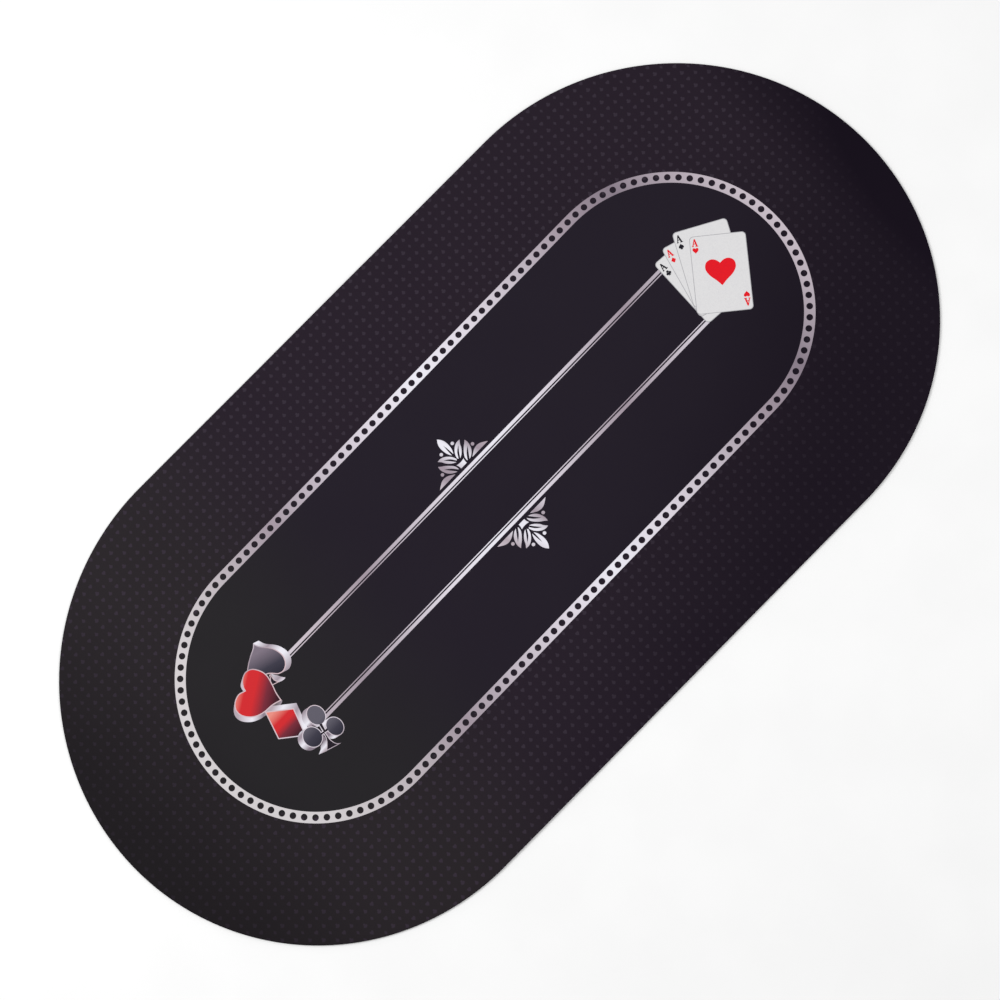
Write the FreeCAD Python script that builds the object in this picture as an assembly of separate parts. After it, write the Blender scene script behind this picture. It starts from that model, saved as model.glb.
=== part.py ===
import FreeCAD, Part
import os

# Roll-out oval poker table top: a printed cloth laminated to a foam-rubber mat,
# cut as one oval with straight long sides and round ends.
# Millimetres, +Z up. The origin is the middle of the outline, on the surface
# that the mat lies on. +X runs along the length, towards the end with the
# printed fan of cards; +Y runs across the width.

# Driving dimensions
LENGTH = 1778.0
WIDTH = 914.0
FOAM_THICKNESS = 2.5
FILM_THICKNESS = 0.1
CLOTH_THICKNESS = 0.4
CUT_EDGE_ROUND = 0.15

# Worked out from them
END_RADIUS = WIDTH / 2
HALF_STRAIGHT = (LENGTH - WIDTH) / 2
FILM_BOTTOM = FOAM_THICKNESS
CLOTH_BOTTOM = FILM_BOTTOM + FILM_THICKNESS

UP = FreeCAD.Vector(0, 0, 1)
FLAT_TOLERANCE = 1e-6


def oval_outline(height):
    """The cut line: two straight sides joined by two half circles."""

    def point(x, y):
        return FreeCAD.Vector(x, y, height)

    right_end = Part.Arc(
        point(HALF_STRAIGHT, -END_RADIUS),
        point(HALF_STRAIGHT + END_RADIUS, 0),
        point(HALF_STRAIGHT, END_RADIUS),
    )
    far_side = Part.LineSegment(
        point(HALF_STRAIGHT, END_RADIUS),
        point(-HALF_STRAIGHT, END_RADIUS),
    )
    left_end = Part.Arc(
        point(-HALF_STRAIGHT, END_RADIUS),
        point(-HALF_STRAIGHT - END_RADIUS, 0),
        point(-HALF_STRAIGHT, -END_RADIUS),
    )
    near_side = Part.LineSegment(
        point(-HALF_STRAIGHT, -END_RADIUS),
        point(HALF_STRAIGHT, -END_RADIUS),
    )
    edges = [curve.toShape() for curve in (right_end, far_side, left_end, near_side)]
    return Part.Wire(edges)


def layer(bottom, thickness):
    """One sheet of the laminate, as a solid with the full oval outline."""
    face = Part.Face(oval_outline(bottom))
    return face.extrude(UP * thickness)


def edges_at(solid, height):
    """The edges of a solid that lie flat at one height."""
    found = []
    for edge in solid.Edges:
        box = edge.BoundBox
        if abs(box.ZMin - height) < FLAT_TOLERANCE and abs(box.ZMax - height) < FLAT_TOLERANCE:
            found.append(edge)
    return found


def foam_rubber_base():
    """The foam-rubber mat, its lower cut edge slightly rounded by the die."""
    solid = layer(0.0, FOAM_THICKNESS)
    return solid.makeFillet(CUT_EDGE_ROUND, edges_at(solid, 0.0))


def bonding_film():
    """The hot-melt film between the rubber and the cloth."""
    return layer(FILM_BOTTOM, FILM_THICKNESS)


def face_cloth():
    """The printed polyester cloth, its upper cut edge slightly rounded."""
    solid = layer(CLOTH_BOTTOM, CLOTH_THICKNESS)
    top = CLOTH_BOTTOM + CLOTH_THICKNESS
    return solid.makeFillet(CUT_EDGE_ROUND, edges_at(solid, top))


def main():
    pieces = {
        "foam_rubber_base": foam_rubber_base(),
        "bonding_film": bonding_film(),
        "face_cloth": face_cloth(),
    }
    os.makedirs("parts", exist_ok=True)
    for name, shape in pieces.items():
        shape.exportStep(os.path.join("parts", name + ".step"))
        box = shape.optimalBoundingBox()
        size = f"{box.XLength:.1f} x {box.YLength:.1f} x {box.ZLength:.2f} mm"
        print(f"{name}: {size}, {shape.Volume / 1000:.1f} cm3, valid {shape.isValid()}")


main()
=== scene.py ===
"""Roll-out oval poker table top: printed cloth on a foam-rubber mat, lying on a pale floor.

Blender works in metres in the CAD frame. The print is drawn in millimetres in its own
frame (u along the mat, v across it) and laid on the cloth by on_mat().
"""
import math

import bmesh
import bpy
from mathutils import Euler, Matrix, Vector
from mathutils.geometry import delaunay_2d_cdt


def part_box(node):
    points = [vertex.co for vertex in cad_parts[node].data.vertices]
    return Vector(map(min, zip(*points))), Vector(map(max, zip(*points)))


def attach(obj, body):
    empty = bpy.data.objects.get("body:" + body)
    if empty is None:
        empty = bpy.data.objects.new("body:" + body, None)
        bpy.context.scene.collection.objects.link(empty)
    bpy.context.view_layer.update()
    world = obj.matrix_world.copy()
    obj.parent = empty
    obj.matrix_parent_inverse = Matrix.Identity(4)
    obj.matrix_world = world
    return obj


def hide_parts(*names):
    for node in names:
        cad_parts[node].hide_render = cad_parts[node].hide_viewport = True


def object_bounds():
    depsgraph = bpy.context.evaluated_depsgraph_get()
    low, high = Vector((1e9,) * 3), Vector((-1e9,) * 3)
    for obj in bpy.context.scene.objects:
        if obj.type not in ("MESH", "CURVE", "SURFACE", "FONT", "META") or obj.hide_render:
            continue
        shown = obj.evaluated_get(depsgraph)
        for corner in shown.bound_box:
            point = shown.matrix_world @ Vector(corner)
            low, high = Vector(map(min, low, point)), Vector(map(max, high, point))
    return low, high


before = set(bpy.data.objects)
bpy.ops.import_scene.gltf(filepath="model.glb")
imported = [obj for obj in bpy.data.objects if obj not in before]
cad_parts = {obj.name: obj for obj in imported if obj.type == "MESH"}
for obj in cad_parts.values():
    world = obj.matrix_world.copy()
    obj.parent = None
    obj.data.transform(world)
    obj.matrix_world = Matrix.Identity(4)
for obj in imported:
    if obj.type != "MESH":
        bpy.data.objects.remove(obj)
CAD_LOW, CAD_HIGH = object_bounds()

MM = 0.001
LENGTH = (CAD_HIGH.x - CAD_LOW.x) / MM
WIDTH = (CAD_HIGH.y - CAD_LOW.y) / MM
END_RADIUS = WIDTH / 2
HALF_STRAIGHT = (LENGTH - WIDTH) / 2

# The camera is above the mat, a little towards -Y, and turned an eighth of a turn, so that the
# mat runs from corner to corner of the picture (metres, degrees, mm of lens).
CAMERA_PLACE = (-0.0554, -0.4055, 2.7322)
CAMERA_TURN = (6.587, 4.997, -45.0245)
CAMERA_LENS = 57.6
SENSOR_WIDTH = 36.0

# The floor and its level in metres, the sky, and each lamp's place and size in metres and its
# power in watts.
FLOOR_HALF = 30.0
FLOOR_LEVEL = -0.0001
SKY_STRENGTH = 0.55
LAMPS = (
    ("key_lamp", (-1.6, 2.2, 3.2), 2.0, 90.0),
    ("fill_lamp", (1.8, -1.6, 3.4), 2.4, 40.0),
)

# The print sits on the cloth a little turned and off centre, as cut (degrees, mm).
PRINT_TURN = 0.70
PRINT_SHIFT = (0.5, 2.9)
PRINT_LIFT = 0.06
PRINT_SINK = 0.05

# How finely the faces and the outlines are divided (mm).
FACE_STEP = 12.0
OUTLINE_STEP = 8.0

# The die rounds the laminate's outer edges. Between its layers the edges are nearly sharp (mm).
DIE_ROUND = 0.15
LAYER_ROUND = 0.02

# The long, low waves that rolling leaves in the mat: height and lengths in mm, how much the
# slanting set leans along the mat, and where in a wave each set starts, in radians.
WAVE_HEIGHT = 0.35
WAVE_ALONG = 410.0
WAVE_ALONG_START = 0.7
WAVE_SLANT = 560.0
WAVE_SLANT_LEAN = 0.55
WAVE_SLANT_START = 2.1


# ---------------------------------------------------------------- plane geometry (mm)


def turned(point, degrees):
    """A point turned about the origin."""
    angle = math.radians(degrees)
    x, y = point
    return (
        x * math.cos(angle) - y * math.sin(angle),
        x * math.sin(angle) + y * math.cos(angle),
    )


def placed(loop, at, tilt=0.0, size=1.0):
    """A loop of points, scaled, turned by tilt degrees, and moved from its origin to a point."""
    out = []
    for x, y in loop:
        tx, ty = turned((x * size, y * size), tilt)
        out.append((tx + at[0], ty + at[1]))
    return out


def edges(loop):
    """Each point of a loop with the next one."""
    return list(zip(loop, loop[1:] + loop[:1]))


def mirrored(loop):
    """The loop's mirror image across x = 0."""
    return [(-x, y) for x, y in reversed(loop)]


def arc(centre, radius, start, end, steps):
    """Points of an arc, its first and last included, angles in degrees."""
    out = []
    for i in range(steps + 1):
        angle = math.radians(start + (end - start) * i / steps)
        out.append((centre[0] + radius * math.cos(angle), centre[1] + radius * math.sin(angle)))
    return out


def disc(centre, radius, steps=28, squash=1.0):
    """A circle, or an ellipse that is squash times as wide as it is tall."""
    ring = arc((0, 0), radius, 0, 360, steps)[:-1]
    return [(centre[0] + x * squash, centre[1] + y) for x, y in ring]


def smooth(points, steps):
    """A smooth curve through the points (a Catmull-Rom spline), its last point left out."""
    before = tuple(2 * p - q for p, q in zip(points[0], points[1]))
    after = tuple(2 * p - q for p, q in zip(points[-1], points[-2]))
    chain = [before, *points, after]
    out = []
    for a, b, c, d in zip(chain, chain[1:], chain[2:], chain[3:]):
        for i in range(steps):
            t = i / steps
            out.append(tuple(
                b[k] + ((c[k] - a[k]) * t + (2 * a[k] - 5 * b[k] + 4 * c[k] - d[k]) * t**2
                        + (3 * b[k] - a[k] - 3 * c[k] + d[k]) * t**3) / 2
                for k in (0, 1)
            ))
    return out


def outline(*spans, steps=5):
    """A closed loop of smooth spans with a sharp corner where one span ends and the next starts.

    Each span is the corner that it starts at and the points that it passes through.
    """
    out = []
    for i, span in enumerate(spans):
        out += smooth([*span, spans[(i + 1) % len(spans)][0]], steps)
    return out


def stadium(half_straight, radius):
    """An oval with straight sides, counter-clockwise."""
    arc_count = math.ceil(math.pi * radius / OUTLINE_STEP)
    straight_count = math.ceil(2 * half_straight / FACE_STEP)
    out = arc((half_straight, 0), radius, -90, 90, arc_count)
    for i in range(1, straight_count):
        out.append((half_straight - 2 * half_straight * i / straight_count, radius))
    out += arc((-half_straight, 0), radius, 90, 270, arc_count)
    for i in range(1, straight_count):
        out.append((-half_straight + 2 * half_straight * i / straight_count, -radius))
    return out


def divided(loop, step):
    """The loop with its long edges cut into pieces of at most step."""
    out = []
    for (ax, ay), (bx, by) in edges(loop):
        count = max(1, math.ceil(math.hypot(bx - ax, by - ay) / step))
        for k in range(count):
            out.append((ax + (bx - ax) * k / count, ay + (by - ay) * k / count))
    return out


def signed_area(loop):
    """The area inside a loop, above 0 where the loop runs counter-clockwise."""
    return sum(ax * by - bx * ay for (ax, ay), (bx, by) in edges(loop)) / 2


def gap_to(point, loop):
    """The distance from a point to the nearest place on a loop."""
    px, py = point
    best = math.inf
    for (ax, ay), (bx, by) in edges(loop):
        dx, dy = bx - ax, by - ay
        square = dx * dx + dy * dy
        share = ((px - ax) * dx + (py - ay) * dy) / square if square else 0.0
        t = max(0.0, min(1.0, share))
        best = min(best, math.hypot(px - ax - t * dx, py - ay - t * dy))
    return best


# An inset corner moves at most 1 / SHARPEST_CORNER times the distance, and a point that ends up
# nearer to the loop than NEAREST_KEPT times the distance is left out.
SHARPEST_CORNER = 0.3
NEAREST_KEPT = 0.96


def inset(loop, distance):
    """A loop with every edge moved inwards by a distance, or outwards where it is negative."""
    if signed_area(loop) < 0:
        loop = loop[::-1]
    out = []
    for i, (x, y) in enumerate(loop):
        px, py = loop[i - 1]
        nx, ny = loop[(i + 1) % len(loop)]
        before = Vector((px - x, py - y)).normalized()
        after = Vector((nx - x, ny - y)).normalized()
        inward = Vector((before.y - after.y, after.x - before.x)).normalized()
        along = max(SHARPEST_CORNER, inward.dot(Vector((-after.y, after.x))))
        moved = (x + inward.x * distance / along, y + inward.y * distance / along)
        if gap_to(moved, loop) > NEAREST_KEPT * abs(distance):
            out.append(moved)
    return out


# A sliver smaller than this is left out (square mm).
SMALLEST_AREA = 0.001


def swept(loop, shift):
    """The loops that together cover everything a loop passes over as it is moved by shift."""
    moved = placed(loop, shift)
    out = [loop, moved]
    for (a, b), (moved_a, moved_b) in zip(edges(loop), edges(moved)):
        quad = [a, b, moved_b, moved_a]
        if abs(signed_area(quad)) > SMALLEST_AREA:
            out.append(quad)
    return out


# ---------------------------------------------------------------- meshes


def lie(x, y):
    """How far the mat's underside stands off the floor at a place, in mm, always 0 or more."""
    along = math.sin(2 * math.pi * x / WAVE_ALONG + WAVE_ALONG_START)
    slant = math.sin(2 * math.pi * (WAVE_SLANT_LEAN * x + y) / WAVE_SLANT + WAVE_SLANT_START)
    return WAVE_HEIGHT * (2 + along + slant)


def on_mat(u, v):
    """A point of the print, in mm on the mat."""
    x, y = turned((u, v), PRINT_TURN)
    return x + PRINT_SHIFT[0], y + PRINT_SHIFT[1]


# The inner points of a face stand on a grid that starts this far in, in steps, so that it
# doesn't line up with the outlines. The triangulation keeps only what is inside a shape.
GRID_START = (0.53, 0.47)
ONLY_INSIDE = 1
SAME_POINT = 1e-5


def painted(layers):
    """Overlapping shapes laid flat. layers is a list of (key, loops), the lowest first.

    Gives the points and, for each key, the triangles where it is the topmost shape. A
    shape whose key is None leaves bare cloth.
    """
    points, faces, keys = [], [], []
    for key, loops in layers:
        for loop in loops:
            loop = divided(loop if signed_area(loop) > 0 else loop[::-1], FACE_STEP)
            faces.append(range(len(points), len(points) + len(loop)))
            points += loop
            keys.append(key)
    low_x, high_x = min(p[0] for p in points), max(p[0] for p in points)
    low_y, high_y = min(p[1] for p in points), max(p[1] for p in points)
    x = low_x + FACE_STEP * GRID_START[0]
    while x < high_x:
        y = low_y + FACE_STEP * GRID_START[1]
        while y < high_y:
            points.append((x, y))
            y += FACE_STEP
        x += FACE_STEP
    spots, _, triangles, _, _, origins = delaunay_2d_cdt(
        [Vector(p) for p in points], [], [list(f) for f in faces], ONLY_INSIDE, SAME_POINT
    )
    groups = {}
    for triangle, origin in zip(triangles, origins):
        if not origin:
            continue
        key = keys[max(origin)]
        if key is not None:
            groups.setdefault(key, []).append(tuple(triangle))
    return [tuple(s) for s in spots], groups


def rim_edges(triangles):
    """The directed edges that only one triangle has."""
    sides = {side for triangle in triangles for side in edges(triangle)}
    return [(a, b) for a, b in sides if (b, a) not in sides]


# Points nearer to each other than this are one point (metres), and an edge that turns by more
# than this is left sharp.
WELD_GAP = 2e-6
SHARP_ANGLE = math.radians(40)


def new_piece(name, points, faces, material):
    """A mesh object that rides on the mat's one body. Points are in mm."""
    mesh = bpy.data.meshes.new(name)
    mesh.from_pydata([(x * MM, y * MM, z * MM) for x, y, z in points], [], faces)
    mesh.materials.append(material)
    bm = bmesh.new()
    bm.from_mesh(mesh)
    bmesh.ops.remove_doubles(bm, verts=bm.verts, dist=WELD_GAP)
    bmesh.ops.recalc_face_normals(bm, faces=bm.faces)
    bm.to_mesh(mesh)
    bm.free()
    mesh.shade_smooth()
    mesh.set_sharp_from_angle(angle=SHARP_ANGLE)
    piece = bpy.data.objects.new(name, mesh)
    bpy.context.scene.collection.objects.link(piece)
    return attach(piece, "root")


def slab(name, spots, triangles, low, high, material):
    """A closed thin slab over some triangles, from one height above the underside to another."""
    used = sorted({i for t in triangles for i in t})
    index = {old: new for new, old in enumerate(used)}
    count = len(used)
    points = []
    for height in (high, low):
        for i in used:
            x, y = spots[i]
            points.append((x, y, lie(x, y) + height))
    faces = []
    for a, b, c in triangles:
        faces.append((index[a], index[b], index[c]))
        faces.append((index[c] + count, index[b] + count, index[a] + count))
    for a, b in rim_edges(triangles):
        faces.append((index[b], index[a], index[a] + count, index[b] + count))
    return new_piece(name, points, faces, material)


def sheet_layer(name, low, high, low_round, high_round, material):
    """One full sheet of the laminate, with its cut edge rounded by low_round and high_round."""
    profile = []
    for angle in (0, 45, 90):
        bend = math.radians(angle)
        profile.append((low_round * (1 - math.sin(bend)), low + low_round * (1 - math.cos(bend))))
    for angle in (90, 45, 0):
        bend = math.radians(angle)
        profile.append((high_round * (1 - math.sin(bend)), high - high_round * (1 - math.cos(bend))))
    points, faces, rows = [], [], []
    for shrink, height in profile:
        loop = stadium(HALF_STRAIGHT, END_RADIUS - shrink)
        rows.append(range(len(points), len(points) + len(loop)))
        points += [(x, y, lie(x, y) + height) for x, y in loop]
    for lower, upper in zip(rows, rows[1:]):
        for i in range(len(lower)):
            j = (i + 1) % len(lower)
            faces.append((lower[i], lower[j], upper[j], upper[i]))
    for shrink, height, flip in ((low_round, low, True), (high_round, high, False)):
        loop = stadium(HALF_STRAIGHT, END_RADIUS - shrink)
        spots, groups = painted([("face", [loop])])
        start = len(points)
        points += [(x, y, lie(x, y) + height) for x, y in spots]
        for triangle in groups["face"]:
            ring = triangle[::-1] if flip else triangle
            faces.append(tuple(start + i for i in ring))
    return new_piece(name, points, faces, material)


# ---------------------------------------------------------------- materials


def srgb(red, green, blue):
    """A colour as it shows on a screen, 0 to 255, as the linear colour that Blender works in."""
    out = []
    for value in (red, green, blue):
        c = value / 255
        out.append(c / 12.92 if c <= 0.04045 else ((c + 0.055) / 1.055) ** 2.4)
    return (*out, 1.0)


class Nodes:
    """A material's node tree, with short ways to add to it."""

    def __init__(self, name):
        self.material = bpy.data.materials.new(name)
        self.material.use_nodes = True
        self.tree = self.material.node_tree
        self.tree.nodes.clear()
        self.shader = self.add("ShaderNodeBsdfPrincipled")
        output = self.add("ShaderNodeOutputMaterial")
        self.tree.links.new(self.shader.outputs[0], output.inputs["Surface"])

    def add(self, kind, **settings):
        node = self.tree.nodes.new(kind)
        for key, value in settings.items():
            setattr(node, key, value)
        return node

    def put(self, socket, value):
        if isinstance(value, bpy.types.NodeSocket):
            self.tree.links.new(value, socket)
        else:
            socket.default_value = value

    def math(self, operation, first, second=0.0, third=0.0):
        node = self.add("ShaderNodeMath", operation=operation)
        for socket, value in zip(node.inputs, (first, second, third)):
            self.put(socket, value)
        return node.outputs[0]

    def hypot(self, first, second):
        """How far a place is from a point that lies so far along each of two directions."""
        squares = [self.math("POWER", side, 2.0) for side in (first, second)]
        return self.math("SQRT", self.math("ADD", *squares))

    def mix(self, share, first, second, data_type="RGBA"):
        node = self.add("ShaderNodeMix", data_type=data_type)
        self.put(node.inputs["Factor"], share)
        self.put(node.inputs["A"], first)
        self.put(node.inputs["B"], second)
        return node.outputs["Result"]

    def step(self, value, low, high):
        """0 below low, 1 above high, smooth between."""
        node = self.add("ShaderNodeMapRange", interpolation_type="SMOOTHSTEP")
        for name, number in (("Value", value), ("From Min", low), ("From Max", high)):
            self.put(node.inputs[name], number)
        return node.outputs[0]

    def place(self):
        """Where a point is, as a vector in metres."""
        return self.add("ShaderNodeTexCoord").outputs["Object"]

    def print_place(self):
        """Where a point is on the print, u and v in mm."""
        mapping = self.add("ShaderNodeMapping", vector_type="TEXTURE")
        self.put(mapping.inputs["Vector"], self.place())
        mapping.inputs["Location"].default_value = (PRINT_SHIFT[0] * MM, PRINT_SHIFT[1] * MM, 0)
        mapping.inputs["Rotation"].default_value = (0, 0, math.radians(PRINT_TURN))
        mapping.inputs["Scale"].default_value = (MM, MM, MM)
        split = self.add("ShaderNodeSeparateXYZ")
        self.put(split.inputs[0], mapping.outputs[0])
        return split.outputs["X"], split.outputs["Y"]

    def noise(self, per_metre, detail=3.0, roughness=0.5):
        node = self.add("ShaderNodeTexNoise")
        self.put(node.inputs["Vector"], self.place())
        self.put(node.inputs["Scale"], per_metre)
        self.put(node.inputs["Detail"], detail)
        self.put(node.inputs["Roughness"], roughness)
        return node.outputs["Fac"]

    def ramp(self, value, stops):
        """A colour that changes with a value through (position, colour) stops."""
        first, last = stops[0][0], stops[-1][0]
        scaled = self.math("DIVIDE", self.math("SUBTRACT", value, first), last - first)
        node = self.add("ShaderNodeValToRGB")
        self.put(node.inputs[0], scaled)
        elements = node.color_ramp.elements
        while len(elements) < len(stops):
            elements.new(0.5)
        for element, (position, _) in zip(elements, stops):
            element.position = (position - first) / (last - first)
        for element, (_, colour) in zip(elements, stops):
            element.color = colour
        return node.outputs["Color"]

    def bump(self, height, strength, distance):
        node = self.add("ShaderNodeBump")
        self.put(node.inputs["Height"], height)
        node.inputs["Strength"].default_value = strength
        node.inputs["Distance"].default_value = distance
        self.put(self.shader.inputs["Normal"], node.outputs[0])


# The weave: the pitch and depth of its threads (mm), how strongly it shows, and how fine its fuzz
# is, per metre.
WEAVE_PITCH = 0.62
WEAVE_DEPTH = 0.06
WEAVE_STRENGTH = 0.35
WEAVE_FUZZ = 2600.0

CLOTH_SHEEN = 0.04
CLOTH_SPECULAR = 0.18
CLOTH_ROUGHNESS = (0.62, 0.74)


def weave(nodes):
    """The height of a plain weave: threads that pass over and under by turns."""
    split = nodes.add("ShaderNodeSeparateXYZ")
    nodes.put(split.inputs[0], nodes.place())
    turn = math.pi / (WEAVE_PITCH * MM)
    warp = nodes.math("SINE", nodes.math("MULTIPLY", split.outputs["X"], turn))
    weft = nodes.math("SINE", nodes.math("MULTIPLY", split.outputs["Y"], turn))
    over = nodes.math("MULTIPLY", warp, weft)
    fuzz = nodes.noise(WEAVE_FUZZ, 2.0)
    return nodes.math("MULTIPLY_ADD", fuzz, 0.5, over)


def cloth_finish(nodes, colour, sheen=CLOTH_SHEEN, specular=CLOTH_SPECULAR):
    """Dyed polyester: matt, softly shiny, woven."""
    shader = nodes.shader
    nodes.put(shader.inputs["Base Color"], colour)
    shader.inputs["Specular IOR Level"].default_value = specular
    shader.inputs["Sheen Weight"].default_value = sheen
    shader.inputs["Sheen Roughness"].default_value = 0.45
    patches = nodes.noise(9.0, 4.0)
    roughness = nodes.add("ShaderNodeMapRange")
    nodes.put(roughness.inputs["Value"], patches)
    roughness.inputs["To Min"].default_value = CLOTH_ROUGHNESS[0]
    roughness.inputs["To Max"].default_value = CLOTH_ROUGHNESS[1]
    nodes.put(shader.inputs["Roughness"], roughness.outputs[0])
    nodes.bump(weave(nodes), WEAVE_STRENGTH, WEAVE_DEPTH * MM)
    return nodes.material


# The silver of the print runs from a shadowed rose grey to a cool white.
SILVER_SHADE = srgb(104, 98, 100)
SILVER_DARK = srgb(134, 122, 134)
SILVER_DIM = srgb(158, 145, 156)
SILVER_LOW = srgb(176, 163, 172)
SILVER_MID = srgb(200, 189, 198)
SILVER_HIGH = srgb(215, 208, 218)
SILVER_BRIGHT = srgb(229, 227, 236)
SILVER_WARM = srgb(205, 200, 202)
SILVER_ROSE = srgb(208, 184, 190)

# The dark faces of the spade and the club.
SLATE_DARK = srgb(48, 47, 58)
SLATE = srgb(64, 62, 74)
SLATE_LIGHT = srgb(96, 93, 104)
SLATE_PALE = srgb(124, 113, 126)

# The faces of the heart and the diamond.
RED_BLACK = srgb(58, 34, 42)
RED_DARK = srgb(118, 48, 60)
RED = srgb(203, 48, 52)
RED_PALE = srgb(226, 140, 128)

# The flat inks and the cards' paper, each with the colour that it is mottled with.
PAPER = (srgb(220, 219, 220), srgb(215, 214, 216))
CARD_EDGE_GREY = (srgb(172, 171, 175), srgb(163, 162, 166))
CARD_RED = (srgb(226, 32, 42), srgb(216, 34, 46))
CARD_BLACK = (srgb(34, 32, 40), srgb(44, 42, 50))
STEM_DARK = (srgb(38, 32, 40), srgb(48, 41, 50))

# The cloth's own faint shine, and the darkest dye.
CLOTH_SHINE = 0.014
DARKEST_DYE = 0.002


def dyed(colour):
    """The dye that shows as a colour once the cloth's own faint shine is added to it."""
    return (*(max(DARKEST_DYE, c - CLOTH_SHINE) for c in colour[:3]), 1.0)


def shaded_ink(name, along_u, along_v, stops):
    """Print whose colour changes along one direction, through (position in mm, colour) stops."""
    nodes = Nodes(name)
    u, v = nodes.print_place()
    value = nodes.math("ADD", nodes.math("MULTIPLY", u, along_u), nodes.math("MULTIPLY", v, along_v))
    dyes = [(at, dyed(colour)) for at, colour in stops]
    return cloth_finish(nodes, nodes.ramp(value, dyes))


def plain_ink(name, colour, worn):
    """One ink, mottled a little with a second colour as the threads take the dye unevenly."""
    nodes = Nodes(name)
    share = nodes.step(nodes.noise(420.0, 3.0), 0.35, 0.75)
    return cloth_finish(nodes, nodes.mix(share, dyed(colour), dyed(worn)))


# ---------------------------------------------------------------- the print's plan (mm)

# The track line: a silver oval band with round gaps that show the cloth.
TRACK_HALF_STRAIGHT = 437.5
TRACK_OUTER = 249.3
TRACK_INNER = 229.9
TRACK_MIDDLE = (TRACK_OUTER + TRACK_INNER) / 2
TRACK_DOTS = 166
TRACK_DOT_RADIUS = 5.75

# The two double lines, each a thick line outside and a thin one inside.
LINES_MIDDLE = 1.1
THICK_AT = 61.4
THICK_WIDTH = 5.8
THIN_AT = 55.1
THIN_WIDTH = 1.8
LINES_START = -478.0
LINES_END = 485.0

# The ground's dyes inside and outside the track line, each with the greyer colour that it turns to at
# the left end; the colour of the painted shade, which stands in for the light falling off, with its
# more neutral colour at the left end; and the faint suits' dye.
INNER_GROUND = srgb(30, 24, 35)
INNER_GROUND_LEFT = srgb(33, 31, 34)
OUTER_GROUND = srgb(34, 25, 36)
OUTER_GROUND_LEFT = srgb(36, 31, 35)
PAINTED_SHADE_COLOUR = srgb(13, 4, 19)
PAINTED_SHADE_COLOUR_LEFT = srgb(11, 8, 12)
MOTIF_TINT = srgb(50, 42, 53)
GROUND_SHEEN = 0.027
GROUND_SPECULAR = 0.08

# Where the ground turns greyer, and where painted shade darkens it as the light falls off, from and
# to (mm), and how much. The near side's painted shade runs along a slanting direction, given by its
# shares of u and v. Soft clouds add to it.
LEFT_END = (-180.0, -520.0)
NEAR_SHADE = (120.0, 560.0)
NEAR_SHADE_ALONG = (0.45, -0.89)
NEAR_SHADE_DEPTH = 0.72
LEFT_SHADE = (-560.0, -900.0)
LEFT_SHADE_DEPTH = 0.62
RIGHT_SHADE = (740.0, 900.0)
RIGHT_SHADE_DEPTH = 0.6
CLOUD_DEPTH = 0.16
CLOUD_BASE = 0.06

# The faint suits stand on a square lattice (mm).
LATTICE_PITCH = 16.72
LATTICE_AT = (10.4, 13.2)
MOTIF_BLUR = 0.25


def painted_shade_share(nodes, u, v):
    """How far painted shade darkens the ground at a place, 0 to 1, where the light falls off towards
    the near side and the ends.
    """
    along_u, along_v = NEAR_SHADE_ALONG
    slant = nodes.math("ADD", nodes.math("MULTIPLY", u, along_u), nodes.math("MULTIPLY", v, along_v))
    shade = nodes.math("MULTIPLY", nodes.step(slant, *NEAR_SHADE), NEAR_SHADE_DEPTH)
    shade = nodes.math("MULTIPLY_ADD", nodes.step(u, *LEFT_SHADE), LEFT_SHADE_DEPTH, shade)
    shade = nodes.math("MULTIPLY_ADD", nodes.step(u, *RIGHT_SHADE), RIGHT_SHADE_DEPTH, shade)
    shade = nodes.math("MULTIPLY_ADD", nodes.noise(5.0, 4.0), CLOUD_DEPTH, shade)
    return nodes.math("MINIMUM", nodes.math("SUBTRACT", shade, CLOUD_BASE), 1.0)


def field_ground():
    """The dyed ground: plain inside the track line, strewn with faint card suits outside it, and
    darkened with painted shade where the light falls off.
    """
    nodes = Nodes("printed_ground")
    u, v = nodes.print_place()
    beyond = nodes.math("SUBTRACT", nodes.math("ABSOLUTE", u), TRACK_HALF_STRAIGHT)
    from_middle = nodes.hypot(nodes.math("MAXIMUM", beyond, 0.0), v)
    outside = nodes.step(from_middle, TRACK_MIDDLE - 2, TRACK_MIDDLE + 2)
    left = nodes.step(u, *LEFT_END)
    inner = nodes.mix(left, INNER_GROUND, INNER_GROUND_LEFT)
    outer = nodes.mix(left, OUTER_GROUND, OUTER_GROUND_LEFT)
    # The painted shade's colour, more neutral at the left end.
    dark = nodes.mix(left, PAINTED_SHADE_COLOUR, PAINTED_SHADE_COLOUR_LEFT)
    motif = nodes.math("MULTIPLY", suit_lattice(nodes, u, v), outside)
    colour = nodes.mix(motif, nodes.mix(outside, inner, outer), MOTIF_TINT)
    # Painted shade: the colour darkens where the light falls off, towards the near side and both
    # ends.
    colour = nodes.mix(painted_shade_share(nodes, u, v), colour, dark)
    return cloth_finish(nodes, colour, GROUND_SHEEN, GROUND_SPECULAR)


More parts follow.
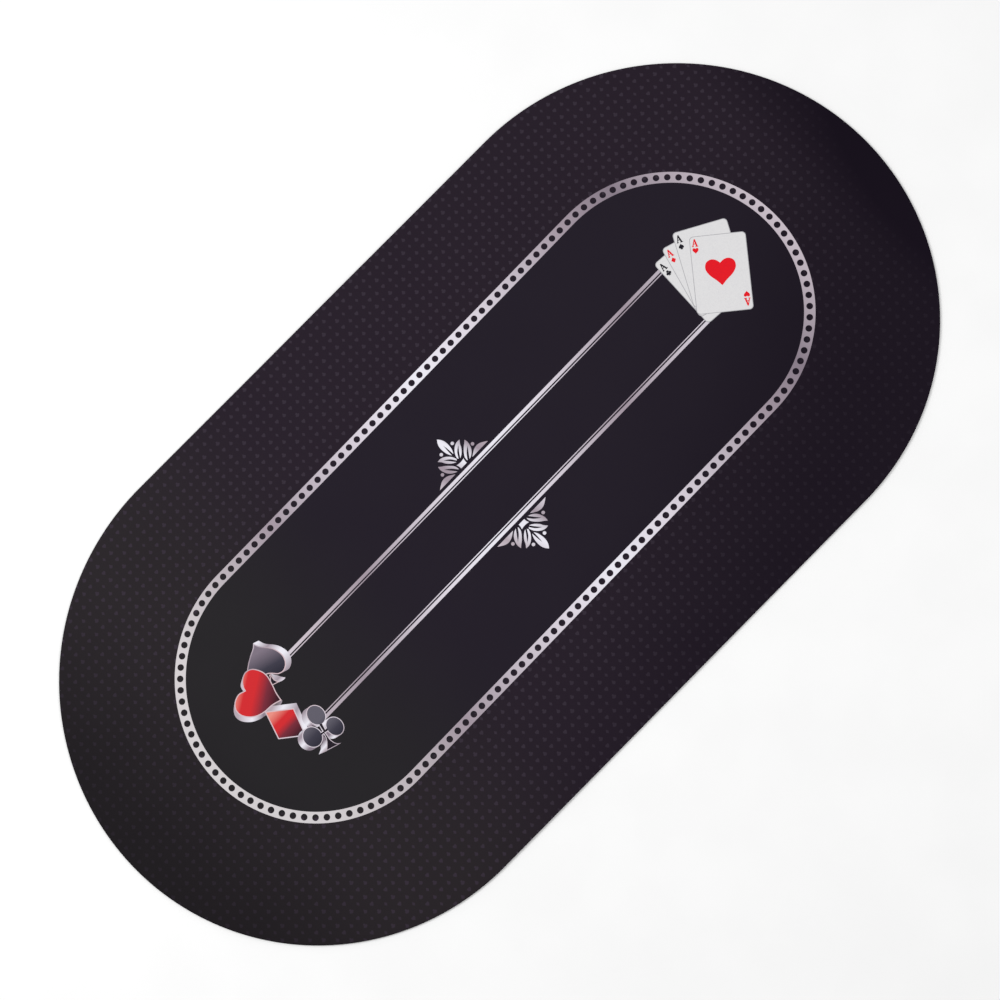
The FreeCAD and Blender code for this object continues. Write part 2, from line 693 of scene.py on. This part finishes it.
def suit_lattice(nodes, u, v):
    """1 on a lattice of small card suits, which take turns along and across, else 0."""

    def cell(value, start):
        """How far a place is from its cell's centre in mm, and whether the cell is an odd one."""
        from_edge = nodes.math("SUBTRACT", value, start - LATTICE_PITCH / 2)
        count = nodes.math("DIVIDE", from_edge, LATTICE_PITCH)
        whole = nodes.math("FLOOR", count)
        share = nodes.math("SUBTRACT", nodes.math("SUBTRACT", count, whole), 0.5)
        odd = nodes.math("FLOORED_MODULO", whole, 2.0)
        return nodes.math("MULTIPLY", share, LATTICE_PITCH), odd

    x, odd_column = cell(u, LATTICE_AT[0])
    y, odd_row = cell(v, LATTICE_AT[1])
    wide = nodes.math("ABSOLUTE", x)

    # Each shape is about how many mm a place lies inside it, below 0 outside it.

    def ball(cx, cy, radius):
        far = nodes.hypot(nodes.math("SUBTRACT", wide, cx), nodes.math("SUBTRACT", y, cy))
        return nodes.math("SUBTRACT", radius, far)

    def lozenge(cy, half_width, half_height):
        up = nodes.math("ABSOLUTE", nodes.math("SUBTRACT", y, cy))
        dx = nodes.math("DIVIDE", wide, half_width)
        dy = nodes.math("DIVIDE", up, half_height)
        left = nodes.math("SUBTRACT", 1.0, nodes.math("ADD", dx, dy))
        return nodes.math("MULTIPLY", left, min(half_width, half_height) * 0.7)

    def wedge(base, slope, reach):
        """A triangle on a base line, reach wide to each side at y = 0 and wider below by slope."""
        side = nodes.math("SUBTRACT", nodes.math("MULTIPLY_ADD", y, -slope, reach), wide)
        return nodes.math("MINIMUM", side, nodes.math("SUBTRACT", y, base))

    def either(*shapes):
        """The shapes joined."""
        out = shapes[0]
        for shape in shapes[1:]:
            out = nodes.math("MAXIMUM", out, shape)
        return out

    stem = wedge(-4.1, 0.42, 0.25)
    diamond = lozenge(0.0, 2.8, 3.8)
    club = either(ball(2.0, -1.2, 1.9), ball(0.0, 1.8, 1.9), stem)
    spade = either(ball(1.75, -1.4, 1.6), wedge(-1.6, 0.62, 2.45), stem)
    heart = either(ball(1.65, 1.2, 1.95), lozenge(-0.4, 3.5, 3.6))

    upper = nodes.mix(odd_column, diamond, club, "FLOAT")
    lower = nodes.mix(odd_column, spade, heart, "FLOAT")
    return nodes.step(nodes.mix(odd_row, upper, lower, "FLOAT"), -MOTIF_BLUR, MOTIF_BLUR)


# ---------------------------------------------------------------- printed shapes


def heart_outline(tall, wide):
    """A heart with its point at the origin, so tall to the top of its lobes and so wide."""
    side = [(0, 0), (0.17, 0.20), (0.37, 0.40), (0.485, 0.60), (0.50, 0.77)]
    lobe = [(0.44, 0.92), (0.29, 1.0), (0.13, 0.965), (0, 0.85)]
    right = smooth([*side, *lobe], 5)
    loop = right + lobe[-1:] + mirrored(right)[:-1]
    return [(x * wide, y * tall) for x, y in loop]


def track_band():
    """The silver band and its round gaps, which are evenly spaced from the middle of the far side."""
    straight = 2 * TRACK_HALF_STRAIGHT
    bend = math.pi * TRACK_MIDDLE
    round_trip = 2 * (straight + bend)
    dots = []
    for i in range(TRACK_DOTS):
        along = (i * round_trip / TRACK_DOTS + straight / 2) % round_trip
        side, rest = divmod(along, straight + bend)
        if rest < straight:
            spot = (-TRACK_HALF_STRAIGHT + rest, TRACK_MIDDLE)
        else:
            angle = math.pi / 2 - (rest - straight) / TRACK_MIDDLE
            spot = (
                TRACK_HALF_STRAIGHT + TRACK_MIDDLE * math.cos(angle),
                TRACK_MIDDLE * math.sin(angle),
            )
        dots.append(disc(spot if side == 0 else (-spot[0], -spot[1]), TRACK_DOT_RADIUS))
    return [
        ("band", [stadium(TRACK_HALF_STRAIGHT, TRACK_OUTER)]),
        (None, [stadium(TRACK_HALF_STRAIGHT, TRACK_INNER)]),
        (None, dots),
    ]


def double_line(side):
    """One double line; side is 1 for the far one and -1 for the near one."""
    loops = []
    for at, width in ((THICK_AT, THICK_WIDTH), (THIN_AT, THIN_WIDTH)):
        middle = LINES_MIDDLE + side * at
        low, high = middle - width / 2, middle + width / 2
        start, end = LINES_START, LINES_END
        loops.append([(start, low), (end, low), (end, high), (start, high)])
    return loops


def leaf_ornament():
    """A spray of leaves over a small pot, its base line's middle at the origin.

    Gives the silver shapes and the slits that leave bare cloth along the leaves' middles.
    """
    crown = outline(
        [(0, 66.2), (-3.7, 61.3), (-6.6, 54.5), (-7.3, 46), (-6.1, 37), (-3.3, 30)],
        [(0, 25.5), (3.3, 30), (6.1, 37), (7.3, 46), (6.6, 54.5), (3.7, 61.3)],
    )
    crown_slit = outline([(0, 50.5), (-1.3, 38)], [(-1.8, 23)], [(1.8, 23), (1.3, 38)])
    upper = outline(
        [(0.6, 17.6), (3.4, 25), (8.8, 31.7), (15, 36.2), (21, 38.0)],
        [(27.2, 37.6), (22.3, 31.5), (19.5, 25.8), (14.2, 19.6), (8.5, 15.4)],
        [(3.6, 13.2)],
    )
    upper_slit = outline([(1.2, 13.4), (8.8, 25.0)], [(19.0, 32.6), (11.3, 23.0)], [(3.8, 12.4)])
    lower = outline(
        [(10.4, 3.3), (11.6, 9.5), (16, 16), (22.3, 22.5), (29, 27.6)],
        [(33, 31.2), (33.9, 24), (32, 16), (28, 9), (21, 3.2)],
        [(13.2, 0.3), (11.4, 1.4)],
    )
    lower_slit = outline([(10.2, 0.6), (18.6, 11.6)], [(29.4, 20.2), (21.6, 9.8)], [(14.0, -0.6)])
    side = outline(
        [(21, 0), (27, 4.2), (33, 7.5), (40, 9), (47, 7.8), (54, 3.9)],
        [(59.6, 0)],
    )
    pot = outline(
        [(-6.9, 0)],
        [(6.9, 0), (7.1, 4.8)],
        [(8.6, 9.6), (4.2, 8.6), (0, 8.3), (-4.2, 8.6)],
        [(-8.6, 9.6), (-7.1, 4.8)],
    )
    silver = [crown, pot]
    bare = [crown_slit]
    for shape in (upper, lower, side, disc((13.7, 42.0), 3.1, 20), disc((37.4, 15.8), 3.1, 20)):
        silver += [shape, mirrored(shape)]
    for shape in (upper_slit, lower_slit):
        bare += [shape, mirrored(shape)]
    return silver, bare


# The two ornaments: name, the middle of the base line, and the turn in degrees.
ORNAMENTS = (
    ("far", (-1.3, 71.0), 0),
    ("near", (-2.5, -69.3), 180),
)


# ---------------------------------------------------------------- cards

CARD_WIDE = 98.0
CARD_TALL = 138.8
CARD_CORNER = 7.0
CARD_EDGE = 1.1

# Each card, the backmost first: its suit, where its top left corner would be if it were sharp,
# its tilt in degrees, and how far its signs are moved towards its top.
CARDS = (
    ("club", (479.2, 77.6), -4.9, 0.0),
    ("diamond", (507.8, 86.6), -17.6, 0.9),
    ("spade", (540.6, 93.1), -30.2, 0.6),
    ("heart", (555.9, 66.9), -40.7, 2.2),
)
CLUB_CARD_EXTRA = 2.6
INDEX_LETTER = (8.9, -7.0)
INDEX_PIP = (9.3, -28.0)
PIP_TALL = 10.0
BIG_HEART_AT = (49.0, -91.3)
BIG_HEART_TALL = 47.4
BIG_HEART_WIDE = 52.6


def card_outline(tall, shrink):
    """A card with round corners, smaller all round by shrink, its top left corner at the origin."""
    radius = CARD_CORNER - shrink * 0.5
    low_x, high_x = shrink + radius, CARD_WIDE - shrink - radius
    low_y, high_y = -tall + shrink + radius, -shrink - radius
    out = []
    for centre, start in (
        ((high_x, low_y), -90),
        ((high_x, high_y), 0),
        ((low_x, high_y), 90),
        ((low_x, low_y), 180),
    ):
        out += arc(centre, radius, start, start + 90, 6)
    return out


def letter_a():
    """The strokes of a capital A with slab feet, 13.8 tall, its top at the origin."""
    return [
        [(-0.9, 0), (-4.4, -12.8), (-2.7, -12.8), (0.3, -1.8), (1.5, -1.28)],
        [(-0.9, 0), (1.0, 0), (4.9, -12.8), (1.9, -12.8), (-0.9, -2.6)],
        [(-3.2, -8.0), (3.0, -8.0), (3.3, -9.3), (-3.5, -9.3)],
        [(-5.3, -12.5), (-1.8, -12.5), (-1.8, -13.8), (-5.3, -13.8)],
        [(0.9, -12.5), (5.8, -12.5), (5.8, -13.8), (0.9, -13.8)],
    ]


def pip(suit, tall):
    """A small suit sign, its centre at the origin."""
    half = tall / 2
    if suit == "heart":
        return [placed(heart_outline(tall, tall * 1.04), (0, -half))]
    if suit == "diamond":
        return [[(0, -half), (0.9 * half, 0), (0, half), (-0.9 * half, 0)]]
    foot = [(-0.1 * half, 0), (0.1 * half, 0), (0.45 * half, -half), (-0.45 * half, -half)]
    if suit == "spade":
        leaf = placed(heart_outline(1.6 * half, 1.8 * half), (0, half), 180)
        return [leaf, foot]
    middles = ((-0.52, -0.2), (0.52, -0.2), (0, 0.52))
    lobes = [disc((x * half, y * half), 0.47 * half, 16) for x, y in middles]
    return [*lobes, foot]


def half_turned(loop, middle):
    """A loop turned by half a turn about a point."""
    return [(2 * middle[0] - x, 2 * middle[1] - y) for x, y in loop]


def card_fan():
    """The fan of four aces, as layers for painted()."""
    layers = []
    for suit, corner, tilt, nearer in CARDS:
        colour = "red" if suit in ("heart", "diamond") else "black"
        tall = CARD_TALL + (CLUB_CARD_EXTRA if suit == "club" else 0)
        middle = (CARD_WIDE / 2, -tall / 2)
        signs = [placed(stroke, INDEX_LETTER) for stroke in letter_a()]
        signs += [placed(shape, INDEX_PIP) for shape in pip(suit, PIP_TALL)]
        marks = [placed(loop, (0, nearer)) for loop in signs]
        marks += [half_turned(loop, middle) for loop in signs]
        if suit == "heart":
            marks.append(placed(heart_outline(BIG_HEART_TALL, BIG_HEART_WIDE), BIG_HEART_AT))
        layers.append(("card_edge", [placed(card_outline(tall, 0.0), corner, tilt)]))
        layers.append((f"{suit}_card", [placed(card_outline(tall, CARD_EDGE), corner, tilt)]))
        layers.append((f"{suit}_card_{colour}", [placed(loop, corner, tilt) for loop in marks]))
    return layers


# ---------------------------------------------------------------- the four suits

# The bright rims' widths, and how far the far side of each suit's depth is moved from its face.
SUIT_RIM = 1.8
CLUB_RIM = 1.3
SPADE_DEPTH = (9.8, -3.6)
DIAMOND_DEPTH = (9.5, 3.0)
CLUB_DEPTH = (-9.0, 2.1)

SPADE_SHIFT = (0.0, -0.8)
DIAMOND = [(-544.0, 21.5), (-560.3, -28.5), (-522.0, -58.8), (-504.2, -10.2)]


def spade_shapes():
    """The spade's body, its stem, and the side of the stem."""
    body = outline(
        [
            (-475.5, 120.3), (-471.2, 108.3), (-461.4, 95.9), (-455.8, 85.6), (-453.2, 71.5),
            (-455.9, 60.2), (-462.4, 52.1), (-472.0, 48.1), (-482.0, 51.2), (-488.5, 58.5),
        ],
        [
            (-493.5, 63.5), (-503.0, 69.0), (-513.0, 80.0), (-517.0, 92.0),
            (-509.3, 99.6), (-495.5, 108.0), (-482.5, 114.4),
        ],
    )
    stem = outline(
        [(-491.5, 61.0), (-493.0, 54.0), (-493.2, 48.0)],
        [(-489.6, 40.4), (-503.0, 45.2)],
        [(-514.0, 50.5), (-503.0, 52.0), (-497.0, 56.5)],
        [(-494.5, 61.5)],
    )
    stem_side = outline(
        [(-490.5, 61.0), (-487.0, 54.5), (-484.0, 49.5), (-481.6, 44.5)],
        [(-477.3, 38.0), (-483.0, 37.8)],
        [(-491.0, 40.6), (-493.6, 50.0)],
    )
    return [placed(loop, SPADE_SHIFT) for loop in (body, stem, stem_side)]


def heart_shapes():
    """The heart's face, and its side, which shows at the left lobe, below and in the notch."""
    face = outline(
        [
            (-509.4, 14.6), (-506.6, 30.0), (-501.3, 45.5), (-497.3, 62.0), (-499.2, 76.0),
            (-508.0, 90.0), (-521.0, 94.3), (-533.5, 88.7), (-540.9, 79.5),
        ],
        [
            (-543.3, 72.5), (-556.0, 75.8), (-569.5, 70.8), (-577.8, 60.5), (-578.0, 47.5),
            (-570.8, 35.2), (-560.0, 26.4), (-545.0, 21.2), (-527.0, 19.6),
        ],
    )
    side = outline(
        [
            (-573.0, 68.5), (-581.0, 61.5), (-585.6, 53.0), (-585.2, 43.0), (-580.0, 33.5),
            (-570.5, 24.6), (-557.5, 18.4), (-543.0, 15.6), (-530.0, 13.8),
        ],
        [(-518.0, 10.3), (-512.0, 11.5)],
        [(-508.8, 13.6), (-545.0, 45.0)],
    )
    notch_side = outline(
        [(-529.5, 91.5), (-541.2, 84.5), (-544.6, 78.5)],
        [(-545.4, 72.8)],
        [(-534.0, 75.0)],
    )
    return face, [side, notch_side]


def club_shapes():
    """The club's lobes, the necks that join them, its stem, the stem's side and the dark gap."""
    lobes = [
        disc((-515.9, -68.3), 19.0, 40, 0.89),
        disc((-485.3, -46.4), 18.7, 40, 0.84),
        disc((-475.9, -83.0), 17.7, 40, 0.842),
    ]
    necks = [
        [(-503.0, -73.4), (-503.0, -77.4), (-495.0, -77.4), (-495.0, -75.2)],
        [(-493.0, -62.0), (-495.8, -76.0), (-492.4, -76.0), (-488.0, -62.0)],
        [(-487.0, -75.2), (-495.0, -75.6), (-495.0, -78.2), (-487.0, -79.6)],
    ]
    stem = outline(
        [
            (-494.6, -76.0), (-495.6, -84.0), (-497.1, -92.0), (-496.2, -100.4), (-493.6, -106.0),
        ],
        [(-488.0, -111.0), (-500.5, -107.2)],
        [(-516.5, -101.8), (-510.0, -97.0), (-503.6, -90.0), (-500.0, -83.0)],
        [(-498.4, -76.0)],
    )
    stem_side = outline(
        [(-499.0, -77.0), (-509.0, -86.5), (-516.4, -88.8), (-520.6, -93.0)],
        [(-529.2, -96.8), (-522.0, -99.9)],
        [(-516.0, -102.4), (-506.0, -94.0)],
    )
    gap = outline(
        [(-504.0, -53.6), (-501.0, -60.0), (-499.2, -66.0)],
        [(-498.6, -72.6)],
        [(-496.8, -72.6), (-496.8, -68.0), (-499.0, -61.0), (-501.4, -55.0)],
    )
    return lobes, necks, stem, stem_side, gap


def suit_group():
    """The four suits as layers: each has a side that shows its depth, a bright rim and a face."""
    spade, spade_stem, spade_stem_side = spade_shapes()
    heart, heart_side = heart_shapes()
    lobes, necks, club_stem, club_stem_side, gap = club_shapes()
    club_side = [club_stem_side]
    for lobe in lobes:
        club_side += swept(lobe, CLUB_DEPTH)
    layers = [
        ("spade_suit_side", [spade_stem_side, *swept(spade, SPADE_DEPTH)]),
        ("spade_suit_rim", [spade_stem]),
        ("stem_faces", [inset(spade_stem, CLUB_RIM)]),
        ("spade_suit_rim", [spade]),
        ("spade_suit_face", [inset(spade, SUIT_RIM)]),
        ("heart_suit_side", heart_side),
        ("diamond_suit_side", swept(DIAMOND, DIAMOND_DEPTH)),
        ("diamond_suit_rim", [DIAMOND]),
        ("diamond_suit_face", [inset(DIAMOND, SUIT_RIM)]),
        ("heart_suit_rim", [heart]),
        ("heart_suit_face", [inset(heart, SUIT_RIM)]),
        ("club_suit_side", club_side),
        ("stem_faces", [gap]),
        ("club_suit_rim", [*lobes, *(inset(neck, -CLUB_RIM) for neck in necks), club_stem]),
        ("stem_faces", [*necks, inset(club_stem, CLUB_RIM)]),
    ]
    for number, lobe in enumerate(lobes, 1):
        layers.append((f"club_suit_lobe_{number}", [inset(lobe, CLUB_RIM)]))
    return layers


# The inks that change along one direction: the shares of u and v in that direction, and the
# stops, each a place along it in mm and a colour.
SHADED_INKS = {
    "band": (1.0, 0.0, (
        (-690, SILVER_WARM), (-580, SILVER_WARM), (-310, SILVER_DIM), (-60, SILVER_HIGH),
        (50, SILVER_BRIGHT), (180, SILVER_HIGH), (420, SILVER_DIM), (525, SILVER_DARK),
        (690, SILVER_MID),
    )),
    "lines": (1.0, -1.0, (
        (-540, SILVER_HIGH), (-480, SILVER_MID), (-320, SILVER_DIM), (-120, SILVER_HIGH),
        (0, SILVER_BRIGHT), (120, SILVER_HIGH), (325, SILVER_DIM), (560, SILVER_HIGH),
    )),
    "far_ornament": (1.0, 0.25, (
        (-40, SILVER_MID), (-22, SILVER_DIM), (-4, SILVER_DIM), (22, SILVER_BRIGHT),
        (32, SILVER_BRIGHT), (56, SILVER_DIM), (78, SILVER_LOW),
    )),
    "near_ornament": (1.0, 0.25, (
        (-80, SILVER_MID), (-60, SILVER_LOW), (-30, SILVER_BRIGHT), (-18, SILVER_BRIGHT),
        (8, SILVER_DIM), (40, SILVER_HIGH),
    )),
    "spade_suit_face": (0.3, 1.0, ((-92, SLATE_DARK), (-74, SLATE), (-42, SLATE_PALE))),
    "heart_suit_face": (0.54, -0.84, (
        (-371, RED_PALE), (-354, RED), (-337, RED), (-316, RED_DARK), (-295, RED_BLACK),
    )),
    "diamond_suit_face": (0.0, 1.0, (
        (-48, RED_BLACK), (-29, RED_DARK), (-16, RED), (-8, RED), (10, RED_PALE),
    )),
    "club_suit_lobe_1": (0.0, 1.0, ((-87, SLATE_DARK), (-69, SLATE), (-50, SLATE_LIGHT))),
    "club_suit_lobe_2": (0.0, 1.0, ((-90, SLATE_DARK), (-73, SLATE), (-56, SLATE_LIGHT))),
    "club_suit_lobe_3": (0.0, 1.0, ((-100, SLATE_DARK), (-86, SLATE), (-68, SLATE_LIGHT))),
    "spade_suit_side": (0.0, 1.0, (
        (38, SILVER_HIGH), (45, SILVER_DIM), (70, SILVER_BRIGHT), (78, SILVER_BRIGHT),
        (98, SILVER_DIM), (116, SILVER_BRIGHT),
    )),
    "heart_suit_side": (0.707, -0.707, (
        (-447, SILVER_LOW), (-422, SILVER_BRIGHT), (-402, SILVER_DARK), (-393, SILVER_LOW),
        (-380, SILVER_SHADE), (-370, SILVER_DIM),
    )),
    "diamond_suit_side": (-0.3, 1.0, (
        (110, SILVER_BRIGHT), (120, SILVER_HIGH), (135, SILVER_DIM), (159, SILVER_BRIGHT),
        (176, SILVER_LOW),
    )),
    "club_suit_side": (0.0, 1.0, (
        (-100, SILVER_LOW), (-95, SILVER_BRIGHT), (-87, SILVER_DARK), (-78, SILVER_DARK),
        (-66, SILVER_BRIGHT), (-55, SILVER_DIM), (-51, SILVER_DIM), (-46, SILVER_BRIGHT),
        (-28, SILVER_DIM),
    )),
    "suit_rim": (0.0, 1.0, (
        (-110, SILVER_DIM), (-95, SILVER_MID), (-66, SILVER_HIGH), (0, SILVER_ROSE),
        (75, SILVER_ROSE), (105, SILVER_DIM), (118, SILVER_MID),
    )),
}
PLAIN_INKS = {
    "paper": PAPER,
    "card_edge": CARD_EDGE_GREY,
    "red": CARD_RED,
    "black": CARD_BLACK,
    "stem_faces": STEM_DARK,
}


def print_materials():
    """Every ink of the print, by its name."""
    inks = {}
    for name, (along_u, along_v, stops) in SHADED_INKS.items():
        inks[name] = shaded_ink(name, along_u, along_v, stops)
    for name, (colour, worn) in PLAIN_INKS.items():
        inks[name] = plain_ink(name, colour, worn)
    return inks


# ---------------------------------------------------------------- the mat and its surroundings


# The foam rubber's emboss (mm) and its cells.
EMBOSS_PITCH = 2.6
EMBOSS_DEPTH = 0.2
CELLS_PER_METRE = 2400.0

FLOOR_WHITE = (0.93, 0.93, 0.93, 1)
FLOOR_GRAIN = (0.91, 0.91, 0.91, 1)


def foam_rubber():
    """Black closed-cell foam rubber, pitted by its cells and embossed with a fine waffle."""
    nodes = Nodes("foam_rubber")
    shader = nodes.shader
    mottle = nodes.step(nodes.noise(90.0, 5.0, 0.6), 0.3, 0.75)
    nodes.put(shader.inputs["Base Color"], nodes.mix(mottle, srgb(27, 26, 28), srgb(38, 37, 39)))
    shader.inputs["Specular IOR Level"].default_value = 0.3
    shader.inputs["Roughness"].default_value = 0.82
    split = nodes.add("ShaderNodeSeparateXYZ")
    nodes.put(split.inputs[0], nodes.place())
    turn = 2 * math.pi / (EMBOSS_PITCH * MM)
    places = [nodes.math("MULTIPLY", split.outputs[axis], turn) for axis in ("X", "Y")]
    ribs = [nodes.math("SINE", place) for place in places]
    waffle = nodes.math("MAXIMUM", *ribs)
    cells = nodes.add("ShaderNodeTexVoronoi")
    nodes.put(cells.inputs["Vector"], nodes.place())
    cells.inputs["Scale"].default_value = CELLS_PER_METRE
    height = nodes.math("MULTIPLY_ADD", cells.outputs["Distance"], 0.7, waffle)
    nodes.bump(height, 0.6, EMBOSS_DEPTH * MM)
    return nodes.material


def hot_melt_film():
    """Milky film, seen only as a hairline in the cut edge."""
    nodes = Nodes("hot_melt_film")
    shader = nodes.shader
    streaks = nodes.step(nodes.noise(700.0, 4.0), 0.3, 0.7)
    nodes.put(shader.inputs["Base Color"], nodes.mix(streaks, srgb(92, 90, 90), srgb(118, 116, 114)))
    shader.inputs["Roughness"].default_value = 0.45
    nodes.bump(nodes.noise(3000.0, 2.0), 0.3, 0.00003)
    return nodes.material


def floor_material():
    """Matt white paint, very slightly uneven."""
    nodes = Nodes("studio_floor")
    grain = nodes.step(nodes.noise(6.0, 3.0), 0.3, 0.7)
    nodes.put(nodes.shader.inputs["Base Color"], nodes.mix(grain, FLOOR_WHITE, FLOOR_GRAIN))
    nodes.shader.inputs["Roughness"].default_value = 0.9
    nodes.shader.inputs["Specular IOR Level"].default_value = 0.1
    return nodes.material


def lay_print(cloth_top):
    """Every printed piece, laid on the cloth."""
    inks = print_materials()
    low, high = cloth_top - PRINT_SINK, cloth_top + PRINT_LIFT
    pieces = []

    def lay(layers, names):
        spots, groups = painted(layers)
        spots = [on_mat(u, v) for u, v in spots]
        for key, triangles in groups.items():
            name, ink = names(key)
            pieces.append(slab(name, spots, triangles, low, high, inks[ink]))

    lay(track_band(), lambda key: ("print_track_band", "band"))
    covers = [loop for _, loops in card_fan() + suit_group() for loop in loops]
    for side, name in ((1, "far"), (-1, "near")):
        layers = [("lines", double_line(side)), (None, covers)]
        lay(layers, lambda key: (f"print_double_line_{name}", "lines"))
    silver, bare = leaf_ornament()
    for name, base, turn in ORNAMENTS:
        layers = [
            ("leaves", [placed(loop, base, turn) for loop in silver]),
            (None, [placed(loop, base, turn) for loop in bare]),
        ]
        lay(layers, lambda key: (f"print_leaf_ornament_{name}", f"{name}_ornament"))

    def card_name(key):
        """The piece and the ink for a key such as heart_card or heart_card_red."""
        if key == "card_edge":
            return "print_card_edges", "card_edge"
        if key.endswith("_card"):
            return f"print_{key}_paper", "paper"
        return f"print_{key}", key.rsplit("_", 1)[1]

    lay(card_fan(), card_name)

    def suit_name(key):
        """The piece and the ink for a key such as club_suit_rim; all the rims share an ink."""
        return f"print_{key}", "suit_rim" if key.endswith("_rim") else key

    lay(suit_group(), suit_name)
    return pieces


def layer_for(node, name, low_round, high_round, material):
    """A full sheet where a CAD node is, which stands for it."""
    low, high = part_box(node)
    piece = sheet_layer(name, low.z / MM, high.z / MM, low_round, high_round, material)
    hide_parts(node)
    return piece


def the_mat():
    """The three sheets of the laminate and the print."""
    foam = layer_for(
        "foam_rubber_base", "foam_rubber_mat", DIE_ROUND, LAYER_ROUND, foam_rubber()
    )
    film = layer_for(
        "bonding_film", "bonding_film_sheet", LAYER_ROUND, LAYER_ROUND, hot_melt_film()
    )
    cloth = layer_for(
        "face_cloth", "face_cloth_sheet", LAYER_ROUND, DIE_ROUND, field_ground()
    )
    prints = lay_print(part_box("face_cloth")[1].z / MM)


def studio():
    """A pale floor, a soft sky and two large soft lamps."""
    mesh = bpy.data.meshes.new("floor")
    signs = ((-1, -1), (1, -1), (1, 1), (-1, 1))
    corners = [(x * FLOOR_HALF, y * FLOOR_HALF, FLOOR_LEVEL) for x, y in signs]
    mesh.from_pydata(corners, [], [(0, 1, 2, 3)])
    mesh.materials.append(floor_material())
    floor = bpy.data.objects.new("floor", mesh)
    bpy.context.scene.collection.objects.link(floor)

    world = bpy.data.worlds.new("studio")
    world.use_nodes = True
    sky = world.node_tree.nodes["Background"]
    sky.inputs["Color"].default_value = (1.0, 1.0, 1.0, 1.0)
    sky.inputs["Strength"].default_value = SKY_STRENGTH
    bpy.context.scene.world = world

    for name, place, size, power in LAMPS:
        data = bpy.data.lights.new(name, "AREA")
        data.shape = "SQUARE"
        data.size = size
        data.energy = power
        lamp = bpy.data.objects.new(name, data)
        lamp.location = place
        lamp.rotation_euler = (-Vector(place)).to_track_quat("-Z", "Y").to_euler()
        bpy.context.scene.collection.objects.link(lamp)

    bpy.context.scene.view_settings.view_transform = "Standard"


def camera():
    """The camera over the mat."""
    data = bpy.data.cameras.new("photo_camera")
    data.lens = CAMERA_LENS
    data.sensor_width = SENSOR_WIDTH
    viewer = bpy.data.objects.new("photo_camera", data)
    viewer.location = CAMERA_PLACE
    viewer.rotation_euler = Euler([math.radians(a) for a in CAMERA_TURN], "XYZ")
    bpy.context.scene.collection.objects.link(viewer)
    bpy.context.scene.camera = viewer


camera()
studio()
the_mat()
